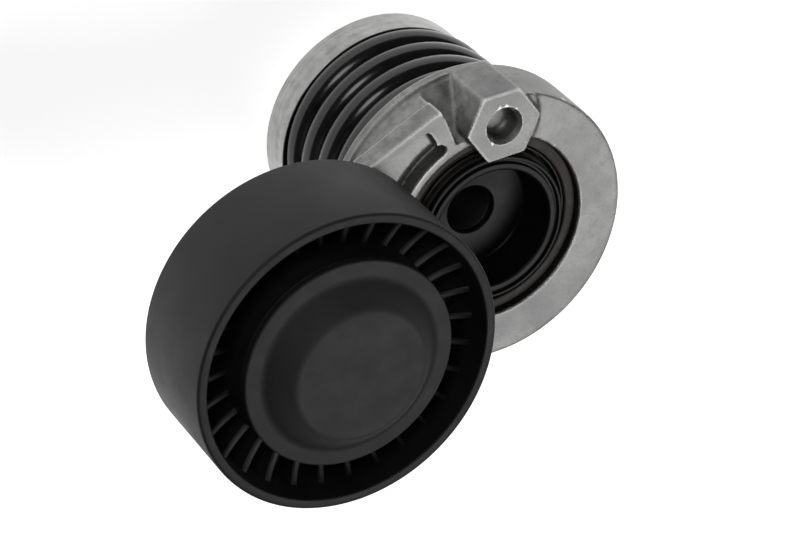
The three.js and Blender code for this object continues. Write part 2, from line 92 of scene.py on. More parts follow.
def shadeSmooth(piece, sharp=35):
    piece.data.shade_smooth()
    piece.data.set_sharp_from_angle(angle=math.radians(sharp))
    return piece


def makePiece(name, points, faces, sharp=35):
    mesh = bpy.data.meshes.new(name)
    mesh.from_pydata([(x * mm, y * mm, z * mm) for x, y, z in points], [], faces)
    shell = bmesh.new()
    shell.from_mesh(mesh)
    bmesh.ops.remove_doubles(shell, verts=shell.verts, dist=0.002 * mm)
    bmesh.ops.recalc_face_normals(shell, faces=shell.faces)
    shell.to_mesh(mesh)
    shell.free()
    piece = bpy.data.objects.new(name, mesh)
    bpy.context.collection.objects.link(piece)
    return shadeSmooth(piece, sharp)


def roundCorners(profile, steps=4):  # corners are (r, z) or (r, z, fillet)
    rounded = []
    for i, corner in enumerate(profile):
        here = Vector(corner[:2])
        fillet = corner[2] if len(corner) > 2 else 0
        back = Vector(profile[i - 1][:2]) - here
        ahead = Vector(profile[(i + 1) % len(profile)][:2]) - here
        if fillet <= 0 or back.length < 1e-6 or ahead.length < 1e-6:
            rounded.append((here.x, here.y))
            continue
        half = back.angle(ahead) / 2
        run = min(fillet / math.tan(half), back.length * 0.49, ahead.length * 0.49)
        centre = here + (back.normalized() + ahead.normalized()).normalized() * run / math.cos(half)
        first = here + back.normalized() * run - centre
        last = here + ahead.normalized() * run - centre
        turn = math.atan2(first.x * last.y - first.y * last.x, first.dot(last))
        start = math.atan2(first.y, first.x)
        for k in range(steps + 1):
            angle = start + turn * k / steps
            rounded.append((centre.x + first.length * math.cos(angle), centre.y + first.length * math.sin(angle)))
    return rounded


def revolve(name, profile, at=(0, 0), segments=160, arc=None, steps=4, sharp=35):
    ring = roundCorners(profile, steps)
    whole = arc is None
    start, sweep = (0, 360) if whole else (arc[0], arc[1] - arc[0])
    strips = segments if whole else max(3, round(segments * sweep / 360))
    stations = strips if whole else strips + 1
    points = []
    for k in range(stations):
        angle = math.radians(start + sweep * k / strips)
        points += [(at[0] + r * math.cos(angle), at[1] + r * math.sin(angle), z) for r, z in ring]
    size = len(ring)
    faces = []
    for k in range(strips):
        a, b = k * size, (k + 1) % stations * size
        faces += [(a + j, b + j, b + (j + 1) % size, a + (j + 1) % size) for j in range(size)]
    if not whole:
        faces.append(tuple(reversed(range(size))))
        faces.append(tuple((stations - 1) * size + j for j in range(size)))
    return makePiece(name, points, faces, sharp)


def slab(name, outline, low, high, sharp=35):  # upright prism of an x-y outline
    size = len(outline)
    points = [(x, y, low) for x, y in outline] + [(x, y, high) for x, y in outline]
    faces = [tuple(reversed(range(size))), tuple(range(size, 2 * size))]
    faces += [(i, (i + 1) % size, size + (i + 1) % size, size + i) for i in range(size)]
    return makePiece(name, points, faces, sharp)


def drill(name, radius, low, high, at=(0, 0), segments=64):
    return revolve(name, [(0, low), (radius, low), (radius, high), (0, high)], at, segments)


def hexagon(across, at=(0, 0)):
    radius = across / math.sqrt(3)
    angles = [math.radians(60 * k) for k in range(6)]
    return [(at[0] + radius * math.cos(a), at[1] + radius * math.sin(a)) for a in angles]


def softCorners(piece, radius):  # rounds the upright edges
    shell = bmesh.new()
    shell.from_mesh(piece.data)
    upright = [e for e in shell.edges if len(e.link_faces) == 2 and e.calc_face_angle(0) > math.radians(25)
               and abs((e.verts[0].co - e.verts[1].co).normalized().z) > 0.9]
    bmesh.ops.bevel(shell, geom=upright, offset=radius * mm, segments=5, affect="EDGES", profile=0.5,
                    clamp_overlap=True)
    shell.to_mesh(piece.data)
    shell.free()
    return piece


def softHexagon(across, fillet, at):  # hexagon with round corners
    points = []
    for k in range(6):
        out = math.radians(60 * k)
        middle = (across - 2 * fillet) / math.sqrt(3)
        for step in range(5):
            a = out + math.radians(-30 + 15 * step)
            points.append((at[0] + middle * math.cos(out) + fillet * math.cos(a),
                           at[1] + middle * math.sin(out) + fillet * math.sin(a)))
    return points


def bake(piece):  # applies the modifiers
    bpy.context.view_layer.update()
    shaped = piece.evaluated_get(bpy.context.evaluated_depsgraph_get())
    mesh = bpy.data.meshes.new_from_object(shaped)
    piece.modifiers.clear()
    old = piece.data
    piece.data = mesh
    bpy.data.meshes.remove(old)
    return piece


def combine(piece, tools, operation):
    for tool in tools:
        step = piece.modifiers.new(operation.lower(), "BOOLEAN")
        step.object = tool
        step.operation = operation
        step.solver = "EXACT"
        bake(piece)
        mesh = tool.data
        bpy.data.objects.remove(tool)
        bpy.data.meshes.remove(mesh)
    return piece


def cut(piece, *tools):
    return combine(piece, tools, "DIFFERENCE")


def add(piece, *tools):
    return combine(piece, tools, "UNION")


def tidyMesh(piece, sharp=35):
    shell = bmesh.new()
    shell.from_mesh(piece.data)
    bmesh.ops.remove_doubles(shell, verts=shell.verts, dist=0.003 * mm)
    bmesh.ops.dissolve_degenerate(shell, edges=shell.edges, dist=0.002 * mm)
    bmesh.ops.recalc_face_normals(shell, faces=shell.faces)
    shell.to_mesh(piece.data)
    shell.free()
    return shadeSmooth(piece, sharp)


# material tools

def addNode(tree, kind, settings=None, **sockets):
    node = tree.nodes.new(kind)
    for key, value in (settings or {}).items():
        setattr(node, key, value)
    for key, value in sockets.items():
        name = key.replace("_", " ")
        if isinstance(value, bpy.types.NodeSocket):
            tree.links.new(value, node.inputs[name])
        else:
            node.inputs[name].default_value = value
    return node


def startMaterial(name, **settings):
    look = bpy.data.materials.new(name)
    look.use_nodes = True
    tree = look.node_tree
    shader = tree.nodes["Principled BSDF"]
    for key, value in settings.items():
        shader.inputs[key.replace("_", " ")].default_value = value
    place = tree.nodes.new("ShaderNodeTexCoord").outputs["Object"]
    return look, tree, shader, place


def noise(tree, place, size, detail=4, rough=0.55, warp=0.0):  # size is the grain in mm
    return addNode(tree, "ShaderNodeTexNoise", Vector=place, Scale=1000 / size, Detail=detail,
                   Roughness=rough, Distortion=warp).outputs["Fac"]


def ramp(tree, value, stops):  # stops are (position, level or colour)
    node = addNode(tree, "ShaderNodeValToRGB", Fac=value)
    band = node.color_ramp
    while len(band.elements) < len(stops):
        band.elements.new(0.5)
    for element, (position, level) in zip(band.elements, stops):
        element.position = position
        element.color = (level, level, level, 1) if isinstance(level, (int, float)) else (*level, 1)
    return node.outputs["Color"]


def mixColours(tree, amount, first, second, how="MIX"):
    node = tree.nodes.new("ShaderNodeMix")
    node.data_type = "RGBA"
    node.blend_type = how
    for socket, value in ((node.inputs[0], amount), (node.inputs[6], first), (node.inputs[7], second)):
        if isinstance(value, bpy.types.NodeSocket):
            tree.links.new(value, socket)
        else:
            socket.default_value = value if isinstance(value, (int, float)) else (*value, 1)
    return node.outputs[2]


def combineLevels(tree, how, first, second):
    node = tree.nodes.new("ShaderNodeMath")
    node.operation = how
    for socket, value in zip(node.inputs, (first, second)):
        if isinstance(value, bpy.types.NodeSocket):
            tree.links.new(value, socket)
        else:
            socket.default_value = value
    return node.outputs[0]


def addBump(tree, shader, height, depth, strength=1.0):  # depth in mm
    node = addNode(tree, "ShaderNodeBump", Height=height, Strength=strength, Distance=depth * mm)
    tree.links.new(node.outputs["Normal"], shader.inputs["Normal"])
    return node


def edgeWear(tree, low=0.51, high=0.56):
    edge = tree.nodes.new("ShaderNodeNewGeometry").outputs["Pointiness"]
    return ramp(tree, edge, [(low, 0.0), (high, 1.0)])


def axisRadius(tree, place):  # distance from the z axis, and z
    split = addNode(tree, "ShaderNodeSeparateXYZ", Vector=place)
    flat = addNode(tree, "ShaderNodeCombineXYZ", X=split.outputs["X"], Y=split.outputs["Y"], Z=0.0)
    radius = addNode(tree, "ShaderNodeVectorMath", {"operation": "LENGTH"}, Vector=flat.outputs["Vector"])
    return radius.outputs["Value"], split.outputs["Z"]


def belowLevel(tree, value, level, blur=0.15):  # one below a level in mm, zero above it
    node = addNode(tree, "ShaderNodeMapRange", Value=value)
    node.inputs["From Min"].default_value = (level - blur) * mm
    node.inputs["From Max"].default_value = (level + blur) * mm
    node.inputs["To Min"].default_value = 1.0
    node.inputs["To Max"].default_value = 0.0
    return node.outputs["Result"]


def castAlloyLook(name, dark, light, stain, gloss, grain, metal=0.85, paintedShade=None):
    look, tree, shader, place = startMaterial(name, Metallic=metal)
    mottle = noise(tree, place, grain["mottle"], 5, 0.6)
    cloud = noise(tree, place, grain["cloud"], 3, 0.5)
    speck = noise(tree, place, grain["speck"], 2, 0.6)
    body = mixColours(tree, ramp(tree, mottle, [(0.35, 0.0), (0.68, 1.0)]), dark, light)
    body = mixColours(tree, ramp(tree, cloud, [(0.42, 0.0), (0.75, 0.55)]), body, stain)
    body = mixColours(tree, ramp(tree, speck, [(0.30, 0.35), (0.42, 0.0)]), body, (0.10, 0.10, 0.10))  # pores
    worn = combineLevels(tree, "MULTIPLY", edgeWear(tree), 0.7)
    body = mixColours(tree, worn, body, (0.78, 0.78, 0.76))
    if paintedShade:  # painted shade: darkens the inside of the opening below the ring face
        radius, height = axisRadius(tree, place)
        inside = combineLevels(tree, "MULTIPLY", belowLevel(tree, radius, paintedShade["radius"]),
                               belowLevel(tree, height, paintedShade["level"]))
        body = mixColours(tree, inside, body, paintedShade["colour"])
    tree.links.new(body, shader.inputs["Base Color"])
    tree.links.new(ramp(tree, mottle, [(0.3, gloss[0]), (0.7, gloss[1])]), shader.inputs["Roughness"])
    height = combineLevels(tree, "ADD", speck, combineLevels(tree, "MULTIPLY", mottle, 1.5))
    addBump(tree, shader, height, grain["depth"], 0.8)
    return look


def mouldedLook(name, dark, light, gloss, grain, sheen=0.5):
    look, tree, shader, place = startMaterial(name, Metallic=0.0, Specular_IOR_Level=sheen)
    fine = noise(tree, place, grain["fine"], 3, 0.6)
    cloud = noise(tree, place, grain["cloud"], 4, 0.6)
    body = mixColours(tree, ramp(tree, cloud, [(0.3, 0.0), (0.75, 1.0)]), dark, light)
    tree.links.new(body, shader.inputs["Base Color"])
    tree.links.new(ramp(tree, cloud, [(0.3, gloss[0]), (0.7, gloss[1])]), shader.inputs["Roughness"])
    addBump(tree, shader, fine, grain["depth"], 0.7)
    return look


def turnedLook(name, dark, light, gloss, grooves, metal=1.0):
    # fine rings left by a lathe: the height follows the distance from the axis and the level
    look, tree, shader, place = startMaterial(name, Metallic=metal)
    radius, level = axisRadius(tree, place)
    along = addNode(tree, "ShaderNodeCombineXYZ", X=radius, Y=0.0, Z=level)
    lines = noise(tree, along.outputs["Vector"], grooves["pitch"], 3, 0.7)
    mottle = noise(tree, place, grooves["mottle"], 5, 0.6)
    mixed = combineLevels(tree, "ADD", combineLevels(tree, "MULTIPLY", lines, 0.5),
                          combineLevels(tree, "MULTIPLY", mottle, 0.5))
    body = mixColours(tree, ramp(tree, mixed, [(0.36, 0.0), (0.64, 1.0)]), dark, light)
    worn = combineLevels(tree, "MULTIPLY", edgeWear(tree), 0.6)
    body = mixColours(tree, worn, body, (0.85, 0.85, 0.84))
    tree.links.new(body, shader.inputs["Base Color"])
    tree.links.new(ramp(tree, mixed, [(0.3, gloss[0]), (0.7, gloss[1])]), shader.inputs["Roughness"])
    addBump(tree, shader, lines, grooves["depth"], 0.5)
    return look


castGrain = {"mottle": 2.6, "cloud": 14.0, "speck": 0.5, "depth": 0.05}
looks = {
    "cast_alloy": castAlloyLook("castAlloy", (0.15, 0.15, 0.147), (0.30, 0.30, 0.29), (0.10, 0.103, 0.11),
                                (0.42, 0.58), castGrain,
                                # painted shade inside the opening: near-black within the opening radius, below the
                                # ring face
                                paintedShade={"radius": 22.72, "level": 58.0, "colour": (0.035, 0.032, 0.03)}),
    # near-black steel: painted shade for the inside of the bolt tunnel
    "paintedTunnelShade": mouldedLook("paintedTunnelShadeSteel", (0.010, 0.010, 0.011), (0.022, 0.021, 0.020), (0.5, 0.7),
                             {"fine": 0.5, "cloud": 4.0, "depth": 0.01}),
    "machined_alloy": turnedLook("machinedAlloy", (0.16, 0.16, 0.16), (0.42, 0.42, 0.41), (0.32, 0.48),
                                 {"pitch": 0.5, "mottle": 3.0, "depth": 0.02}),
    "black_steel": mouldedLook("blackSteel", (0.004, 0.004, 0.004), (0.007, 0.007, 0.007), (0.30, 0.40),
                               {"fine": 0.6, "cloud": 5.0, "depth": 0.02}, 0.12),
    "spring_steel": mouldedLook("springLacquer", (0.006, 0.006, 0.006), (0.011, 0.011, 0.010), (0.14, 0.22),
                                {"fine": 2.2, "cloud": 4.0, "depth": 0.03}),
    "plain_steel": turnedLook("groundSteel", (0.42, 0.42, 0.43), (0.62, 0.62, 0.62), (0.2, 0.34),
                              {"pitch": 0.3, "mottle": 2.0, "depth": 0.008}),
    "zinc_steel": turnedLook("zincPlate", (0.46, 0.47, 0.45), (0.62, 0.63, 0.60), (0.3, 0.44),
                             {"pitch": 0.4, "mottle": 1.6, "depth": 0.01}),
    "friction_polymer": mouldedLook("frictionPolymer", (0.018, 0.014, 0.011), (0.034, 0.028, 0.022), (0.6, 0.8),
                                    {"fine": 0.5, "cloud": 3.0, "depth": 0.03}),
    "black_nylon": mouldedLook("blackNylon", (0.007, 0.007, 0.0075), (0.013, 0.013, 0.0135), (0.5, 0.62),
                               {"fine": 0.45, "cloud": 9.0, "depth": 0.02}, 0.25),
    "cap_plastic": mouldedLook("capPlastic", (0.014, 0.014, 0.0145), (0.018, 0.018, 0.0185), (0.6, 0.7),
                               {"fine": 0.5, "cloud": 6.0, "depth": 0.03}, 0.35),
    "seal_rubber": mouldedLook("sealRubber", (0.03, 0.026, 0.022), (0.045, 0.04, 0.034), (0.6, 0.8),
                               {"fine": 0.4, "cloud": 3.0, "depth": 0.02}),
}


def fit(piece, body, slotName, *nodes, look=None):
    piece.data.materials.clear()
    piece.data.materials.append(looks[look or slotName])
    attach(piece, body)
    if nodes:
        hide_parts(*nodes)
    return piece


# base cup, dowel pin and pivot shaft

baseSizes = {
    "wall": 0.45, "rim": 8.9, "floor": 3.8, "bore": 9.7, "hubRadius": 13.95, "hubTop": 11.0,
    "reliefDepth": 1.2, "reliefInner": 13.65, "reliefOuter": 20.9,
    "swingStop": {"inner": 15.15, "outer": 18.3, "from": 200, "to": 230, "top": 15.7},
    "springStop": {"inner": 21.1, "outer": 27.0, "from": 139.7, "to": 151.7, "top": 7.6},
    "pinBoss": 3.8, "pinBossTop": 10.4, "pinHoleTop": 8.0, "pinHoleGap": 0.1, "sink": 0.3,
}


def makeBaseCup():
    s = baseSizes
    outer = reach("base_cup")
    rim, inner = s["rim"], outer - s["wall"]
    cup = revolve("baseCup", [
        (s["bore"], 0, 0.3), (s["reliefInner"], 0, 0.2), (s["reliefInner"], s["reliefDepth"], 0.2),
        (s["reliefOuter"], s["reliefDepth"], 0.2), (s["reliefOuter"], 0, 0.2), (outer, 0, 0.5),
        (outer, rim, 0.22), (inner, rim, 0.2), (inner, s["floor"], 0.4), (s["hubRadius"], s["floor"], 0.6),
        (s["hubRadius"], s["hubTop"], 0.4), (s["bore"], s["hubTop"], 0.3)], segments=240)
    root = s["floor"] - s["sink"]  # raised parts start a little inside the floor
    stops = [revolve(name, [
        (s[name]["inner"], root), (s[name]["outer"], root), (s[name]["outer"], s[name]["top"], 0.5),
        (s[name]["inner"], s[name]["top"], 0.5)], arc=(s[name]["from"], s[name]["to"]))
        for name in ("swingStop", "springStop")]
    boss = revolve("pinBoss", [
        (0, root), (s["pinBoss"], root), (s["pinBoss"], s["pinBossTop"], 0.5), (0, s["pinBossTop"])],
        at=pinPlace, segments=48)
    add(cup, *stops, boss)
    cut(cup, drill("pinHole", reach("locating_pin") + s["pinHoleGap"], -1, s["pinHoleTop"], at=pinPlace,
                   segments=48))
    return fit(tidyMesh(cup), "base", "machined_alloy", "base_cup")


def makeRound(name, node, profile, slotName, body, at=(0, 0), segments=120, look=None, **more):
    return fit(revolve(name, profile, at, segments, **more), body, slotName, node, look=look)


pivotSizes = {"bore": 5.8, "pin": 2.5}

makeBaseCup()
pinLow, pinHigh = levels("locating_pin")
makeRound("dowelPin", "locating_pin", [
    (0, pinLow), (pivotSizes["pin"], pinLow, 0.7), (pivotSizes["pin"], pinHigh, 0.3), (0, pinHigh)],
    "plain_steel", "base", pinPlace, 48)
shaftLow, shaftHigh = levels("pivot_shaft")
shaftOuter = reach("pivot_shaft")
# the pivot tube takes the near-black look: painted shade inside the bolt tunnel
makeRound("pivotTube", "pivot_shaft", [
    (pivotSizes["bore"], shaftLow, 0.4), (shaftOuter, shaftLow, 0.4), (shaftOuter, shaftHigh, 0.3),
    (pivotSizes["bore"], shaftHigh, 0.3)], "plain_steel", "base", segments=160, look="paintedTunnelShade")
print("base cup, pin and shaft made")


# torsion spring

springSizes = {"wire": 7.2, "startAngle": 135.0, "pitch": 7.55, "around": 28, "perTurn": 80, "endRound": 0.5}
springLow, springHigh = levels("torsion_spring")
springTurns = (springHigh - springLow - springSizes["wire"]) / springSizes["pitch"]
springEnd = springSizes["startAngle"] - 360 * springTurns  # where the last coil stops, in degrees


def makeSpring():
    s = springSizes
    wire = s["wire"] / 2
    first, last = springLow + wire, springHigh - wire
    middle = reach("torsion_spring") - wire
    aside = Vector((*centreOf("torsion_spring"), 0))  # the spring is bowed a little off the axis
    turns = (last - first) / s["pitch"]
    steps = round(turns * s["perTurn"])
    length = math.hypot(2 * math.pi * middle * turns, last - first)
    stations = [(0.0, 1 - s["endRound"] / wire)]  # the ends are ground flat with a small round
    for k in range(1, 4):
        back = math.cos(k / 4 * math.pi / 2) * s["endRound"]
        shrink = s["endRound"] * (1 - math.sin(k / 4 * math.pi / 2))
        stations.append(((s["endRound"] - back) / length, 1 - shrink / wire))
    lead = s["endRound"] / length
    body = [(lead + (1 - 2 * lead) * k / steps, 1.0) for k in range(steps + 1)]
    stations = stations + body + [(1 - t, size) for t, size in reversed(stations)]
    slope = math.atan2(last - first, 2 * math.pi * middle * turns)
    points, faces = [], []
    for t, size in stations:
        angle = math.radians(s["startAngle"]) - t * 2 * math.pi * turns
        outward = Vector((math.cos(angle), math.sin(angle), 0))
        forward = Vector((math.sin(angle), -math.cos(angle), 0)) * math.cos(slope)
        forward += Vector((0, 0, math.sin(slope)))
        upward = outward.cross(forward)
        centre = aside + outward * middle + Vector((0, 0, first + t * (last - first)))
        for j in range(s["around"]):
            a = 2 * math.pi * j / s["around"]
            points.append(centre + (outward * math.cos(a) + upward * math.sin(a)) * wire * size)
    n = s["around"]
    for k in range(len(stations) - 1):
        here, ahead = k * n, (k + 1) * n
        faces += [(here + j, here + (j + 1) % n, ahead + (j + 1) % n, ahead + j) for j in range(n)]
    faces.append(tuple(range(n)))
    faces.append(tuple((len(stations) - 1) * n + j for j in range(n)))
    spring = makePiece("torsionSpring", points, faces, 50)
    spring.data.materials.append(looks["spring_steel"])
    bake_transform(spring)
    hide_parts("torsion_spring")
    return spring


makeSpring()
print("spring made")


# arm casting

armSizes = {
    "drum": 33.4, "drumFront": 33.1, "opening": 22.6, "rear": 43.0, "chamber": 29.4, "chamberRoof": 49.0,
    "hub": 18.6, "hubRear": 12.7, "bore": 11.55, "counterbore": 16.1, "counterboreFloor": 46.0, "collarTop": 56.3,
    "ringFloor": 51.6, "rimWall": 2.0,
    "neck": {"big": 34.5, "small": 14.3, "rear": 45.8, "side": 5.8, "lead": 6.8, "wall": 2.8, "skin": 3.6,
             "rib": 3.0, "ribPitch": 10.5},
    "slotPocket": {"width": 2.9, "depth": 4.4, "from": -65.0, "to": -28.0},
    "sidePocket": {"depth": 2.2, "from": -65.6, "ridge": 2.4, "round": 2.6},
    "lug": {"across": 16.0, "at": (-3.8, -26.15), "top": 60.9, "shelf": 57.8, "pad": 10.0, "padTop": 59.0,
            "corner": 1.3},
    "lugHole": {"mouth": 4.2, "wall": 3.75, "depth": 5.2},
    "lip": {"radius": 34.15, "from": -107.0, "to": -22.0, "top": 45.7},
    "notch": {"from": -97.0, "to": -73.8, "inner": 24.8, "innerTop": 58.1, "outer": 33.5, "floor": 46.2},
    "boss": {"shoulder": 11.3, "spigot": 8.4, "bolt": 4.1, "boltFloor": 60.0},
    "springStop": {"depth": 5.4, "from": -16.7, "to": -4.7},
    "stopSlot": {"inner": 14.85, "swing": 60.0, "gap": 1.5, "above": 0.4},
    "edge": {"wide": 0.45, "from": -66, "to": 236},
    "past": 62.0, "voxel": 0.40, "draftVoxel": 0.6, "softening": 4,
}


def neckOutline(inset, lead):
    s = armSizes["neck"]
    big, small = s["big"] - inset, s["small"] - inset
    lean = math.degrees(math.acos((big - small) / armLength))
    outline = [(0.0, 0.0)]
    for k in range(9):
        a = math.radians(-lean - lead + lead * k / 8)
        outline.append((big * math.cos(a), big * math.sin(a)))
    for k in range(41):
        a = math.radians(-lean + 2 * lean * k / 40)
        outline.append((armLength + small * math.cos(a), small * math.sin(a)))
    for k in range(9):
        a = math.radians(lean + lead * k / 8)
        outline.append((big * math.cos(a), big * math.sin(a)))
    return outline


def makeArm():
    s = armSizes
    neck, lug, hole, lip, notch, boss = (s[k] for k in ("neck", "lug", "lugHole", "lip", "notch", "boss"))
    past = s["past"]  # cutters open to the front end here
    wallMiddle = (s["chamber"] + s["drum"]) / 2
    arm = revolve("armCast", [
        (s["bore"], s["hubRear"], 0.4), (s["hub"], s["hubRear"], 0.4), (s["hub"], s["chamberRoof"], 0.8),
        (s["chamber"], s["chamberRoof"], 0.8), (s["chamber"], s["rear"], 0.5), (s["drum"], s["rear"], 0.8),
        (s["drumFront"], faceLevel, 0.7), (s["opening"], faceLevel, 0.35), (s["opening"], s["ringFloor"], 0.4),
        (s["hub"], s["ringFloor"], 0.4), (s["hub"], s["collarTop"], 0.3), (s["counterbore"], s["collarTop"], 0.3),
        (s["counterbore"], s["counterboreFloor"], 0.3), (s["bore"], s["counterboreFloor"], 0.3)], segments=200)
    # neck: a shallow rimmed plate over three deeper ribs and the boss
    web = slab("neckWeb", neckOutline(0, neck["lead"]), faceLevel - neck["side"], faceLevel)
    cut(web, slab("neckHollow", neckOutline(neck["wall"], 0), 0, faceLevel - neck["skin"]))
    add(web, drill("neckBoss", neck["small"], neck["rear"], faceLevel - 0.3, pulleyAxis, 96))
    for row in (-1, 0, 1):
        side, half = row * neck["ribPitch"], neck["rib"] / 2
        add(web, slab("neckRib", [(0, side - half), (armLength, side - half), (armLength, side + half),
                                  (0, side + half)], neck["rear"], faceLevel - 0.3))
    cut(web, drill("keepRing", wallMiddle, 0, 70, segments=120))
    add(arm, web)
    # deep notch, then the slot and the shallow pocket on the neck
    cut(arm, revolve("notchCut", [
        (notch["inner"], notch["innerTop"]), (notch["outer"], notch["floor"]), (40, notch["floor"]), (40, past),
        (notch["inner"], past)], arc=(notch["from"], notch["to"]), segments=200))
    slotInner = s["opening"] + s["rimWall"]
    slotOuter = slotInner + s["slotPocket"]["width"]
    slotFloor = faceLevel - s["slotPocket"]["depth"]
    slotFrom, slotTo = s["slotPocket"]["from"], s["slotPocket"]["to"]
    middle = (slotInner + slotOuter) / 2
    slotEnd = math.radians(slotFrom)
    cut(arm, revolve("slotCut", [
        (slotInner, slotFloor), (slotOuter, slotFloor), (slotOuter, past), (slotInner, past)],
        arc=(slotFrom, slotTo), segments=200),
        drill("slotEnd", s["slotPocket"]["width"] / 2, slotFloor, past,
              at=(middle * math.cos(slotEnd), middle * math.sin(slotEnd)), segments=32))
    side = slab("sideCut", neckOutline(s["sidePocket"]["ridge"], 0), faceLevel - s["sidePocket"]["depth"], past)
    cut(side, drill("keepSlot", slotOuter - 0.1, 0, 70, segments=120),
        drill("keepFar", armLength, 0, 70, at=(armLength, armLength * 0.98), segments=120))
    combine(side, [revolve("sideSpan", [(10, 0), (armLength + 20, 0), (armLength + 20, 70), (10, 70)],
                           arc=(s["sidePocket"]["from"], slotTo), segments=200)], "INTERSECT")
    cut(arm, softCorners(side, s["sidePocket"]["round"]))
    # rear lip, wrench lug on its pad, pulley boss and spring stop
    add(arm, revolve("rearLip", [
        (wallMiddle, s["rear"]), (lip["radius"], s["rear"], 0.6),
        (lip["radius"], lip["top"], 0.3), (wallMiddle, lip["top"])],
        arc=(lip["from"], lip["to"]), segments=200))
    bar = slab("lugBar", softHexagon(lug["across"], lug["corner"], lug["at"]), lip["top"] - 1.0, lug["top"])
    pad = revolve("lugPad", [(0, 50), (lug["pad"], 50), (lug["pad"], lug["padTop"], 0.4), (0, lug["padTop"])],
                  at=lug["at"], segments=64)
    combine(pad, [drill("padLimit", s["drum"] - 0.3, 0, 70, segments=120)], "INTERSECT")
    cut(pad, revolve("padNotch", [(20, 40), (45, 40), (45, 70), (20, 70)], arc=(-92, -60)))
    cut(pad, drill("padOpening", s["opening"], 0, 70, segments=200))
    cut(bar, drill("shelfCut", s["opening"], 0, lug["shelf"], segments=200),
        drill("chamberCut", s["chamber"], 0, s["chamberRoof"], segments=200))
    add(arm, pad, bar)
    add(arm, revolve("pulleyBoss", [
        (0, neck["rear"]), (boss["shoulder"], neck["rear"]), (boss["shoulder"], bearingBack - 0.1, 0.4),
        (boss["spigot"], bearingBack - 0.1), (boss["spigot"], bearingFront - 0.3, 0.5), (0, bearingFront - 0.3)],
        at=pulleyAxis, segments=96))
    block, inner, outer = s["springStop"], baseSizes["springStop"]["inner"], baseSizes["springStop"]["outer"]
    bottom, root = springHigh - block["depth"], s["chamberRoof"] + 0.5
    add(arm, revolve("armSpringStop", [(inner, bottom, 0.4), (outer, bottom, 0.4), (outer, root), (inner, root)],
                     arc=(springEnd + block["from"], springEnd + block["to"])))
    # soft edges of the casting
    remesh = arm.modifiers.new("grain", "REMESH")
    remesh.mode = "VOXEL"
    remesh.voxel_size = s["voxel"] * mm
    remesh.use_smooth_shade = True
    soften = arm.modifiers.new("soften", "SMOOTH")
    soften.factor = 0.5
    soften.iterations = s["softening"]
    bake(arm)
    # machined features stay crisp
    top = lug["top"]
    cut(arm, revolve("lugHoleCut", [
        (0, top - hole["depth"]), (hole["wall"], top - hole["depth"], 2.2), (hole["wall"], top - 1.3, 0.2),
        (hole["mouth"] + 0.5, top + 0.3), (0, top + 0.3)], at=lug["at"], segments=72))
    cut(arm, revolve("openingCut", [
        (s["hub"], s["ringFloor"], 0.3), (s["opening"], s["ringFloor"], 0.3), (s["opening"], lug["shelf"]),
        (0, lug["shelf"]), (0, s["collarTop"]), (s["hub"], s["collarTop"])], segments=240))
    edge, opening = s["edge"], s["opening"]
    cut(arm, revolve("openingEdge", [
        (opening - 1, lug["shelf"] - 0.2), (opening, lug["shelf"] - 0.2), (opening, faceLevel - 0.35),
        (opening + edge["wide"], faceLevel + 0.1), (opening + edge["wide"], past), (opening - 1, past)],
        arc=(edge["from"], edge["to"]), segments=240))
    cut(arm, drill("boltHole", boss["bolt"], boss["boltFloor"], 90, at=pulleyAxis, segments=48))
    stop, slot = baseSizes["swingStop"], s["stopSlot"]  # the base's stop swings in this slot
    roof = stop["top"] + slot["above"]
    cut(arm, revolve("stopSlot", [
        (slot["inner"], 10), (s["hub"] + 2, 10), (s["hub"] + 2, roof), (slot["inner"], roof)],
        arc=(stop["from"] - slot["swing"] - slot["gap"], stop["to"] + slot["gap"]), segments=160))
    return fit(shadeSmooth(arm, 40), "arm", "cast_alloy", "arm_casting")


bearingBack, bearingFront = levels("bearing_outer_ring")
armCast = makeArm()
print("arm casting made:", len(armCast.data.polygons), "faces")


# front plate, friction ring and damper band

plateSizes = {
    "mouth": 14.45, "floorRadius": 13.9, "outer": 15.8, "flange": 17.85, "boltHole": pivotSizes["bore"],
    "floorSheet": 2.0, "flangeSheet": 1.4, "grooveInner": 16.1, "grooveOuter": 17.0, "grooveDepth": 0.9,
    "keyAngle": 20.0, "keyWidth": 4.0, "keyInner": 20.4, "keyOuter": 22.0,
}
damperSizes = {"ring": 2.5, "band": 0.5, "bandDrop": 0.5, "halfGap": 2.7, "washerBore": 16.1}


def makePlate():
    s = plateSizes
    low, top = levels("front_plate")
    floor = low + s["floorSheet"]
    under = top - s["flangeSheet"]
    plate = revolve("frontPlate", [
        (s["boltHole"], low, 0.3), (s["outer"], low, 1.4), (s["outer"], under, 0.3), (s["flange"], under, 0.2),
        (s["flange"], top, 0.35), (s["grooveOuter"], top, 0.15),
        (s["grooveOuter"] - 0.1, top - s["grooveDepth"], 0.2),
        (s["grooveInner"] + 0.1, top - s["grooveDepth"], 0.2), (s["grooveInner"], top, 0.2),
        (s["mouth"], top, 0.6), (s["floorRadius"], floor, 1.0), (s["boltHole"], floor, 0.35)], segments=200)
    angle = math.radians(s["keyAngle"])
    across = Vector((-math.sin(angle), math.cos(angle))) * s["keyWidth"] / 2
    along = Vector((math.cos(angle), math.sin(angle)))

    def block(name, inner, outer, bottom, height):
        corners = [along * inner - across, along * outer - across,
                   along * outer + across, along * inner + across]
        return slab(name, [tuple(c) for c in corners], bottom, height)

    add(plate, block("keyArm", s["flange"] - 0.5, s["keyOuter"], under, top - 0.1))
    add(plate, block("keyLeg", s["keyInner"], s["keyOuter"], ringLow + 1, under + 0.2))
    return fit(tidyMesh(plate), "base", "black_steel", "front_plate")


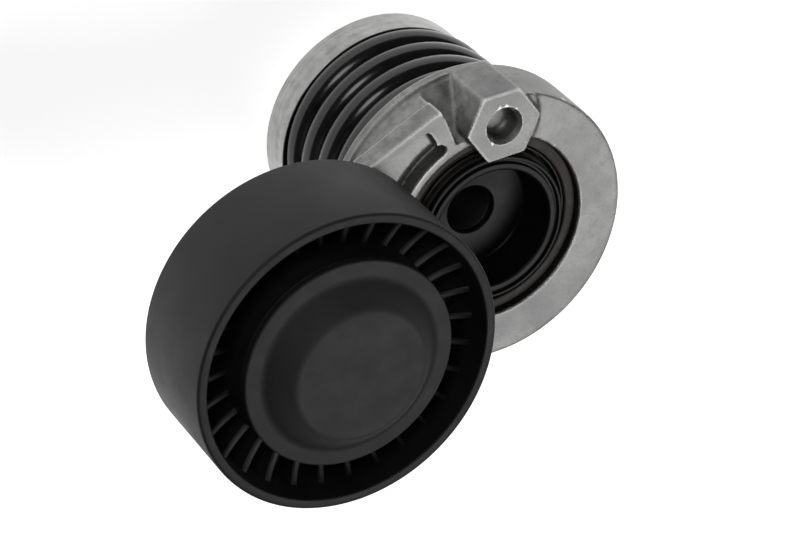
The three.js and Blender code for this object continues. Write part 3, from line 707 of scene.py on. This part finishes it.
ringLow, ringHigh = levels("friction_ring")
makePlate()
ringOuter = reach("friction_ring")
ringInner = ringOuter - damperSizes["ring"]
bandOuter = reach("damper_band")
bandInner = bandOuter - damperSizes["band"]
bandHigh = ringHigh - damperSizes["bandDrop"]
openHalf = math.degrees(damperSizes["halfGap"] / ringOuter)  # the ring and band are split round the key
split = (plateSizes["keyAngle"] + openHalf, plateSizes["keyAngle"] + 360 - openHalf)
makeRound("frictionRing", "friction_ring", [
    (ringInner, ringLow, 0.3), (ringOuter, ringLow, 0.3), (ringOuter, ringHigh, 0.4), (ringInner, ringHigh, 0.4)],
    "friction_polymer", "base", segments=200, arc=split)
makeRound("damperBand", "damper_band", [
    (bandInner, ringLow, 0.12), (bandOuter, ringLow, 0.12), (bandOuter, bandHigh, 0.12),
    (bandInner, bandHigh, 0.12)], "plain_steel", "base", segments=200, arc=split, look="black_steel")
washerLow, washerHigh = levels("thrust_washer")
washerOuter = reach("thrust_washer")
makeRound("thrustWasher", "thrust_washer", [
    (damperSizes["washerBore"], washerLow, 0.2), (washerOuter, washerLow, 0.2), (washerOuter, washerHigh, 0.2),
    (damperSizes["washerBore"], washerHigh, 0.2)], "friction_polymer", "base")
print("front plate and friction damper made")


# bushes and spring pad

bushSizes = {"bore": 9.75, "outer": 11.45, "flangeSheet": 1.5}
padSizes = {"inner": 19.5, "outer": 27.7, "span": 343}

bushBore, bushOuter = bushSizes["bore"], bushSizes["outer"]
rearLow, rearHigh = levels("rear_bush")
flangeTop = rearLow + bushSizes["flangeSheet"]
makeRound("rearBush", "rear_bush", [
    (bushBore, rearLow, 0.2), (reach("rear_bush"), rearLow, 0.2), (reach("rear_bush"), flangeTop, 0.3),
    (bushOuter, flangeTop), (bushOuter, rearHigh, 0.3), (bushBore, rearHigh, 0.3)], "friction_polymer", "arm")
frontLow, frontHigh = levels("front_bush")
makeRound("frontBush", "front_bush", [
    (bushBore, frontLow, 0.3), (bushOuter, frontLow, 0.3), (bushOuter, frontHigh, 0.2), (bushBore, frontHigh, 0.2)],
    "friction_polymer", "arm")
padLow, padHigh = levels("spring_pad")
makeRound("springPad", "spring_pad", [
    (padSizes["inner"], padLow, 0.2), (padSizes["outer"], padLow, 0.3), (padSizes["outer"], padHigh, 0.2),
    (padSizes["inner"], padHigh, 0.2)], "friction_polymer", "arm", arc=(springEnd, springEnd + padSizes["span"]))
print("bushes and pad made")


# idler pulley

pulleySizes = {
    "rim": 2.33, "edge": 0.7, "hubInner": 20.1, "hubOuter": 24.3, "hubFront": 87.0, "web": 3.0,
    "retainer": 18.55, "hubRear": 2.6, "ribs": 30, "ribThick": 1.55, "ribTaper": 0.35, "ribFront": 5.9,
    "ribFall": 2.6, "ribSag": 0.5, "backSag": 0.3, "ribEdge": 0.35, "ribSink": 0.5,
}


def makeRibs(name, s, base, tip, fall, sag, inner, outer, rise):
    # a rib is lofted outwards, with bevelled free corners and a falling, sagging edge
    stations = 9
    points, faces = [], []
    for rib in range(s["ribs"]):
        angle = math.radians((rib + 0.5) * 360 / s["ribs"])
        along = Vector((math.cos(angle), math.sin(angle), 0))
        across = Vector((-math.sin(angle), math.cos(angle), 0))
        start = len(points)
        for k in range(stations):
            f = k / (stations - 1)
            r = inner + (outer - inner) * f
            edge = tip - rise * (fall * (1 - f) + sag * math.sin(math.pi * f))
            wide, slim = s["ribThick"] / 2 + s["ribTaper"], s["ribThick"] / 2
            section = [(-wide, base), (-slim, edge - rise * s["ribEdge"]), (-slim + s["ribEdge"], edge),
                       (slim - s["ribEdge"], edge), (slim, edge - rise * s["ribEdge"]), (wide, base)]
            for t, z in section:
                points.append(Vector((*pulleyAxis, 0)) + along * r + across * t + Vector((0, 0, z)))
        for k in range(stations - 1):
            a, b = start + 6 * k, start + 6 * (k + 1)
            faces += [(a + j, a + (j + 1) % 6, b + (j + 1) % 6, b + j) for j in range(6)]
        faces.append(tuple(start + j for j in range(6)))
        faces.append(tuple(start + 6 * (stations - 1) + j for j in range(6)))
    return makePiece(name, points, faces, 40)


def makePulley():
    s = pulleySizes
    back, front = levels("pulley")
    outer = reach("pulley")
    inner = outer - s["rim"]
    webBack = (back + front) / 2 - s["web"] / 2
    webFront = webBack + s["web"]
    hubBack = bearingBack - s["hubRear"]
    e = s["edge"]
    shell = revolve("pulleyMoulding", [
        (s["retainer"], hubBack, 0.3), (s["hubOuter"], hubBack, 0.6), (s["hubOuter"] + 0.2, webBack, 0.8),
        (inner - 0.3, webBack, 0.8), (inner, back, 0.5), (outer, back, e), (outer, front, e), (inner, front, 0.45),
        (inner - 0.35, webFront, 0.9), (s["hubOuter"] + 0.3, webFront, 0.9), (s["hubOuter"], s["hubFront"], 0.3),
        (s["hubInner"], s["hubFront"], 0.3), (s["hubInner"], bearingBack - 0.1, 0.2),
        (s["retainer"], bearingBack - 0.1, 0.2)], at=pulleyAxis, segments=256)
    sink = s["ribSink"]
    ribEnds = (s["hubOuter"] - sink, inner + sink)
    frontRibs = makeRibs("frontRibs", s, webFront - sink, front - s["ribFront"], s["ribFall"], s["ribSag"],
                         *ribEnds, 1)
    backRibs = makeRibs("backRibs", s, webBack + sink, hubBack, 0.0, s["backSag"], *ribEnds, -1)
    add(shell, frontRibs, backRibs)
    return fit(tidyMesh(shell), "pulley", "black_nylon", "pulley")


pulleyMoulding = makePulley()
print("pulley made:", len(pulleyMoulding.data.polygons), "faces")


# bearing and its fixings

bearingSizes = {
    "outer": 20.0, "outerLand": 17.1, "bore": 8.5, "innerLand": 11.4, "pitch": 14.25, "balls": 8,
    "grooveGap": 0.12, "grip": 52, "cageInner": 12.6, "cageOuter": 15.9, "cageHalf": 3.6,
}
ballRadius = reach("bearing_ball_1")
pitchRadius = bearingSizes["pitch"]
bearingMiddle = (bearingBack + bearingFront) / 2
grooveRadius = ballRadius + bearingSizes["grooveGap"]


def halfBall(radius, steps):  # half outline, from the rear pole to the front pole
    return [(radius * math.cos(a), bearingMiddle + radius * math.sin(a)) for a in
            (math.radians(-90 + 180 * k / steps) for k in range(steps + 1))]


def raceArc(radius, steps=10):  # groove a little larger than the ball, seen in half section
    grip = math.radians(bearingSizes["grip"])
    return [(pitchRadius + radius * math.cos(a), bearingMiddle + radius * math.sin(a)) for a in
            (-grip + 2 * grip * k / steps for k in range(steps + 1))]


outerGroove = raceArc(grooveRadius)
innerGroove = [(2 * pitchRadius - r, z) for r, z in outerGroove]
outerLand, innerLand = bearingSizes["outerLand"], bearingSizes["innerLand"]
makeRound("bearingOuterRing", "bearing_outer_ring", [
    (outerLand, bearingBack, 0.2), (bearingSizes["outer"], bearingBack, 0.5),
    (bearingSizes["outer"], bearingFront, 0.5), (outerLand, bearingFront, 0.2)]
    + outerGroove[::-1], "plain_steel", "pulley", pulleyAxis)
makeRound("bearingInnerRing", "bearing_inner_ring", [
    (bearingSizes["bore"], bearingFront, 0.4), (bearingSizes["bore"], bearingBack, 0.4),
    (innerLand, bearingBack, 0.2)] + innerGroove + [(innerLand, bearingFront, 0.2)],
    "plain_steel", "arm", pulleyAxis)
for side in ("rear_seal", "front_seal"):
    sealLow, sealHigh = levels(side)
    makeRound(side.replace("_s", "S"), side, [
        (11.7, sealLow, 0.15), (12.6, sealLow + 0.3, 0.1), (16.2, sealLow + 0.3, 0.1), (17.0, sealLow, 0.15),
        (17.0, sealHigh, 0.15), (16.0, sealHigh - 0.15, 0.1), (12.8, sealHigh - 0.15, 0.1), (11.7, sealHigh, 0.15)],
        "seal_rubber", "pulley", pulleyAxis)

pockets = []
for number in range(1, bearingSizes["balls"] + 1):
    node = f"bearing_ball_{number}"
    makeRound(f"ball{number}", node, halfBall(ballRadius, 16), "plain_steel", "cage", centreOf(node), 32)
    pockets.append(revolve(f"pocket{number}", halfBall(grooveRadius, 12), centreOf(node), 24))
cageLow, cageHigh = bearingMiddle - bearingSizes["cageHalf"], bearingMiddle + bearingSizes["cageHalf"]
cageInner, cageOuter = bearingSizes["cageInner"], bearingSizes["cageOuter"]
cage = revolve("ballCage", [
    (cageInner, cageLow, 0.3), (cageOuter, cageLow, 0.3), (cageOuter, cageHigh, 0.3), (cageInner, cageHigh, 0.3)],
    pulleyAxis, 96)
cut(cage, *pockets)
fit(tidyMesh(cage), "cage", "black_nylon", "bearing_cage")

fixingSizes = {
    "shieldBore": 11.5, "washerBore": 4.2, "hexAcross": 13, "headRadius": 8.2, "headTaper": 6.2, "dish": 3.25,
    "dishDepth": 0.5, "shank": 4,
}
shieldBore, washerBore = fixingSizes["shieldBore"], fixingSizes["washerBore"]
shieldLow, shieldHigh = levels("rear_shield")
shieldOuter = reach("rear_shield")
makeRound("rearShield", "rear_shield", [
    (shieldBore, shieldLow, 0.2), (shieldOuter - 2, shieldLow, 0.3), (shieldOuter, shieldLow + 0.2, 0.2),
    (shieldOuter, shieldHigh, 0.2), (shieldBore, shieldHigh, 0.2)], "zinc_steel", "arm", pulleyAxis)
boltWasherLow, boltWasherHigh = levels("bolt_washer")
makeRound("boltWasher", "bolt_washer", [
    (washerBore, boltWasherLow, 0.2), (reach("bolt_washer"), boltWasherLow, 0.3),
    (reach("bolt_washer"), boltWasherHigh, 0.4), (washerBore, boltWasherHigh, 0.2)],
    "zinc_steel", "arm", pulleyAxis)


def makeBolt():
    s = fixingSizes
    low, high = levels("pulley_bolt")
    seat = boltWasherHigh + 0.1
    head = slab("pulleyBolt", hexagon(s["hexAcross"], pulleyAxis), seat, high)
    wide, taper = s["headRadius"], s["headTaper"]
    combine(head, [revolve("headCone", [
        (0, seat), (taper, seat), (wide, seat + 0.8), (wide, high - 0.9), (taper, high), (0, high)],
        pulleyAxis, 96)], "INTERSECT")
    cut(head, drill("headDish", s["dish"], high - s["dishDepth"], high + 1, pulleyAxis, 48))
    add(head, revolve("shank", [(0, low), (s["shank"], low, 0.8), (s["shank"], seat + 1), (0, seat + 1)],
                      pulleyAxis, 64))
    return fit(tidyMesh(head), "arm", "zinc_steel", "pulley_bolt")


makeBolt()
print("bearing and fixings made")


# dust cap

capSizes = {"flange": 24.3, "shoulder": 20.0, "disc": 15.2, "sheet": 1.5, "skirt": 19.9}


def makeCap():
    s = capSizes
    low, roof = levels("dust_cap")
    front = levels("pulley")[1]
    skirtOuter = s["skirt"]
    skirtInner = skirtOuter - s["sheet"]
    return makeRound("dustCap", "dust_cap", [
        (0, roof - s["sheet"]), (s["disc"] - 0.75, roof - s["sheet"], 0.5), (skirtInner, front - 0.75, 0.5),
        (skirtInner, low, 0.2), (skirtOuter, low, 0.4), (skirtOuter, front - s["sheet"], 0.2),
        (s["flange"], front - s["sheet"], 0.2), (s["flange"], front, 0.5), (s["shoulder"] + 0.3, front + 0.25, 2.4),
        (s["disc"] + 0.1, roof, 2.6), (0, roof)], "cap_plastic", "pulley", pulleyAxis, 200, steps=6)


makeCap()
print("dust cap made")


# floor, light and camera

stageSizes = {"floorSize": 6.0, "floorGap": 0.3, "floorGlow": 0.75, "world": 0.05, "lightDistance": 1.2}
viewSizes = {"target": (28, 0, 58), "place": (262.6, -359.1, 579.1), "lens": 138.26, "sensor": 36}
lowest = cadBox[0][2]


def makeFloor():
    half = stageSizes["floorSize"] / 2
    level = lowest - stageSizes["floorGap"] * mm
    mesh = bpy.data.meshes.new("paleFloor")
    mesh.from_pydata([(-half, -half, level), (half, -half, level), (half, half, level), (-half, half, level)], [],
                     [(0, 1, 2, 3)])
    floor = bpy.data.objects.new("paleFloor", mesh)
    bpy.context.collection.objects.link(floor)
    look, _, shader, _ = startMaterial("paleFloor", Roughness=0.9, Metallic=0.0)
    shader.inputs["Base Color"].default_value = (0.9, 0.9, 0.9, 1)
    shader.inputs["Emission Color"].default_value = (1, 1, 1, 1)
    shader.inputs["Emission Strength"].default_value = stageSizes["floorGlow"]
    mesh.materials.append(look)
    return floor


makeFloor()
target = Vector(viewSizes["target"]) * mm
cameraPlace = Vector(viewSizes["place"]) * mm
cameraRight = Vector((-0.8831, 0.0811, 0.4621))
cameraDown = Vector((0.3085, 0.8424, 0.4418))
cameraAhead = Vector((-0.3535, 0.5327, -0.7690))


def makeLight(name, towards, size, power):
    # towards is (right, up, back) as the camera sees it
    direction = (cameraRight * towards[0] - cameraDown * towards[1] - cameraAhead * towards[2]).normalized()
    data = bpy.data.lights.new(name, "AREA")
    data.shape = "DISK"
    data.size = size
    data.energy = power
    light = bpy.data.objects.new(name, data)
    light.location = target + direction * stageSizes["lightDistance"]
    light.rotation_mode = "QUATERNION"
    light.rotation_quaternion = (-direction).to_track_quat("-Z", "Y")
    bpy.context.collection.objects.link(light)
    return light


makeLight("softLow", (0.75, -0.62, 0.35), 0.9, 9)
makeLight("softTop", (-0.35, 1.0, 0.25), 0.22, 6)
makeLight("softLeft", (-1.0, 0.25, 0.3), 0.35, 1.2)
makeLight("softFront", (-0.1, 0.15, 1.0), 0.5, 3)

bpy.context.scene.view_settings.view_transform = "Standard"
world = bpy.data.worlds.new("studio")
bpy.context.scene.world = world
world.use_nodes = True
sky = world.node_tree.nodes["Background"]
sky.inputs["Color"].default_value = (1, 1, 1, 1)
sky.inputs["Strength"].default_value = stageSizes["world"]

cameraData = bpy.data.cameras.new("camera")
cameraData.sensor_width = viewSizes["sensor"]
cameraData.lens = viewSizes["lens"]
cameraData.clip_start = 0.01
cameraData.clip_end = 20
camera = bpy.data.objects.new("camera", cameraData)
turn = Matrix((cameraRight, -cameraDown, -cameraAhead)).transposed()
camera.matrix_world = Matrix.Translation(cameraPlace) @ turn.to_4x4()
bpy.context.collection.objects.link(camera)
bpy.context.scene.camera = camera
print("stage, lights and camera set")
